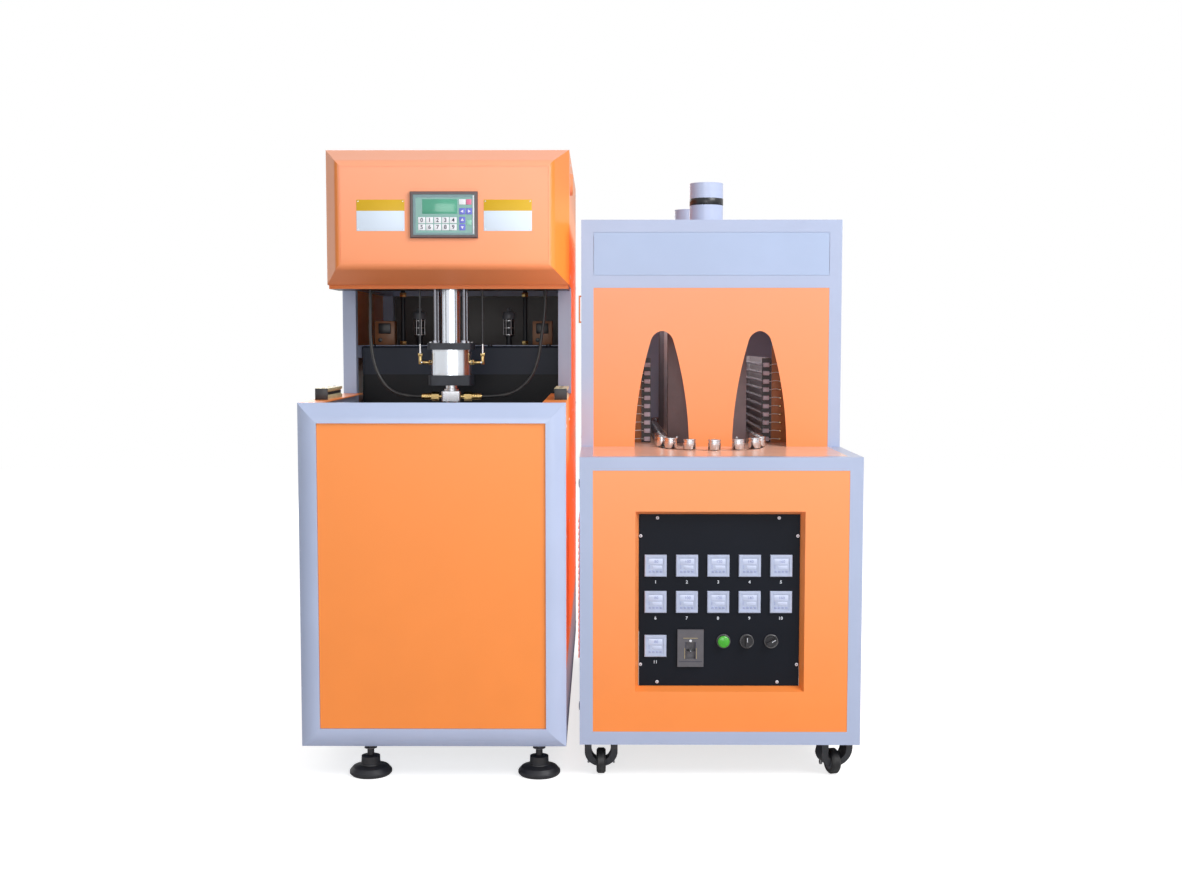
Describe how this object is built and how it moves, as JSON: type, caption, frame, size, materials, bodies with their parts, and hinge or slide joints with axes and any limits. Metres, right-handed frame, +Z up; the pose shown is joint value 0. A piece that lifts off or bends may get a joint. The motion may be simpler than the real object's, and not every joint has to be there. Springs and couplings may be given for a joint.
{
  "type": "blow moulding machine",
  "caption": "Semi-automatic stretch blow moulding machine: clamp and blowing head under a hood, with its rotary infrared preform heater on casters beside it.",
  "frame": {"origin": "on the floor, at the middle of the bounding box of both stations", "axes": "+Z up, +X to the right seen from the operator's side, +Y towards the back"},
  "size_m": [1.613, 1.669, 1.858],
  "materials": {
    "aluminium": "machined",
    "black_paint": "satin black paint",
    "black_plastic": "fine texture",
    "brass": "machined",
    "chrome_tube": "hard chrome",
    "dark_steel": "oiled dark steel",
    "green_plastic": "glossy",
    "grey_paint": "satin powder coat",
    "grey_plastic": "smooth",
    "lamp_glass": "clear quartz with frosted ends",
    "orange_paint": "satin powder coat",
    "rubber": "matt",
    "steel": "ground steel",
    "tyre": "hard black rubber",
    "zinc_gold": "yellow passivated zinc"
  },
  "bodies": {
    "machine": {"air_treatment_set": "dark_steel", "arch_panel": "orange_paint", "blow_hoses": "rubber", "blower_frame": "grey_paint", "blower_rear_panel": "orange_paint", "blower_side_sheets": "orange_paint", "chain_sprockets": "steel", "clamp_support_plate": "black_paint", "control_panel": "black_paint", "conveyor_chain": "dark_steel", "drive_gearmotor": "grey_paint", "exhaust_ducts": "grey_paint", "fascia_panel": "grey_paint", "front_bevel_frame": "grey_paint", "front_panel": "orange_paint", "head_carrier_plate": "grey_paint", "heater_covers": "grey_paint", "heater_frame": "grey_paint", "heater_front_panel": "orange_paint", "heater_side_covers": "orange_paint", "heater_side_panels": "orange_paint", "heater_table": "orange_paint", "hood_shell": "orange_paint", "infrared_lamps": "lamp_glass", "lamp_racks": "aluminium", "levelling_feet": "black_plastic", "mould_change_rails": "zinc_gold", "operator_display": "black_plastic", "panel_fittings": "steel", "panel_meters": "grey_plastic", "preform_holders": "steel", "seal_cylinder_barrel": "aluminium", "seal_cylinder_plates": "black_paint", "stretch_cylinder": "chrome_tube", "tunnel_reflector": "aluminium"},
    "front_clamp": {"front_platen": "black_paint", "front_mould_half": "aluminium", "tie_bars": "chrome_tube", "clamp_crosshead": "dark_steel", "clamp_cylinder": "aluminium"},
    "rear_clamp": {"rear_platen": "black_paint", "rear_mould_half": "aluminium", "clamp_rod": "chrome_tube"},
    "nozzle": {"blow_nozzle": "steel", "hose_fittings": "brass"},
    "stretch": {"stretch_rod": "chrome_tube"},
    "front_fan": {"front_exhaust_fan": "aluminium"},
    "rear_fan": {"rear_exhaust_fan": "aluminium"},
    "button": {"start_button": "green_plastic"},
    "selector_a": {"left_selector": "black_plastic"},
    "selector_b": {"right_selector": "black_plastic"},
    "breaker": {"breaker_lever": "black_plastic"},
    "front_left_caster": {"front_left_yoke": "dark_steel"},
    "front_left_roll": {"front_left_wheel": "tyre"},
    "front_right_caster": {"front_right_yoke": "dark_steel"},
    "front_right_roll": {"front_right_wheel": "tyre"},
    "rear_left_caster": {"rear_left_yoke": "dark_steel"},
    "rear_left_roll": {"rear_left_wheel": "tyre"},
    "rear_right_caster": {"rear_right_yoke": "dark_steel"},
    "rear_right_roll": {"rear_right_wheel": "tyre"}
  },
  "joints": [
    {"name": "front_platen_slide", "type": "slide", "parent": "machine", "child": "front_clamp", "axis": [0, 1, 0], "range_m": [0, 0.118]},
    {"name": "rear_platen_slide", "type": "slide", "parent": "machine", "child": "rear_clamp", "axis": [0, -1, 0], "range_m": [0, 0.118]},
    {"name": "seal_stroke", "type": "slide", "parent": "machine", "child": "nozzle", "axis": [0, 0, -1], "range_m": [0, 0.045], "deforming": ["blow_hoses"]},
    {"name": "stretch_stroke", "type": "slide", "parent": "machine", "child": "stretch", "axis": [0, 0, -1], "range_m": [0, 0.38]},
    {"name": "front_fan_spin", "type": "hinge", "parent": "machine", "child": "front_fan", "pos_m": [0.3885, -0.2395, 1.682], "axis": [0, 0, 1], "continuous": true},
    {"name": "rear_fan_spin", "type": "hinge", "parent": "machine", "child": "rear_fan", "pos_m": [0.3885, 0.6815, 1.682], "axis": [0, 0, 1], "continuous": true},
    {"name": "start_button_press", "type": "slide", "parent": "machine", "child": "button", "axis": [0, 1, 0], "range_m": [0, 0.004], "stiffness_N_per_m": 400},
    {"name": "left_selector_turn", "type": "hinge", "parent": "machine", "child": "selector_a", "pos_m": [0.4725, -0.7715, 0.402], "axis": [0, 1, 0], "range_deg": [0, 60]},
    {"name": "right_selector_turn", "type": "hinge", "parent": "machine", "child": "selector_b", "pos_m": [0.5425, -0.7715, 0.402], "axis": [0, 1, 0], "range_deg": [-60, 0]},
    {"name": "breaker_lever_flip", "type": "hinge", "parent": "machine", "child": "breaker", "pos_m": [0.3105, -0.7755, 0.376], "axis": [1, 0, 0], "range_deg": [0, 40]},
    {"name": "front_left_swivel", "type": "hinge", "parent": "machine", "child": "front_left_caster", "pos_m": [0.0535, -0.7425, 0.101], "axis": [0, 0, 1], "continuous": true},
    {"name": "front_left_wheel_roll", "type": "hinge", "parent": "front_left_caster", "child": "front_left_roll", "pos_m": [0.0535, -0.7245, 0.037], "axis": [1, 0, 0], "continuous": true},
    {"name": "front_right_swivel", "type": "hinge", "parent": "machine", "child": "front_right_caster", "pos_m": [0.7355, -0.7425, 0.101], "axis": [0, 0, 1], "continuous": true},
    {"name": "front_right_wheel_roll", "type": "hinge", "parent": "front_right_caster", "child": "front_right_roll", "pos_m": [0.73054, -0.7252, 0.037], "axis": [0.9613, 0.2756, 0], "continuous": true},
    {"name": "rear_left_swivel", "type": "hinge", "parent": "machine", "child": "rear_left_caster", "pos_m": [0.0535, 0.7605, 0.101], "axis": [0, 0, 1], "continuous": true},
    {"name": "rear_left_wheel_roll", "type": "hinge", "parent": "rear_left_caster", "child": "rear_left_roll", "pos_m": [0.0535, 0.7785, 0.037], "axis": [1, 0, 0], "continuous": true},
    {"name": "rear_right_swivel", "type": "hinge", "parent": "machine", "child": "rear_right_caster", "pos_m": [0.7355, 0.7605, 0.101], "axis": [0, 0, 1], "continuous": true},
    {"name": "rear_right_wheel_roll", "type": "hinge", "parent": "rear_right_caster", "child": "rear_right_roll", "pos_m": [0.7355, 0.7785, 0.037], "axis": [1, 0, 0], "continuous": true}
  ],
  "couplings": [
    {"joint": "rear_platen_slide", "follows": "front_platen_slide", "ratio": 1}
  ]
}
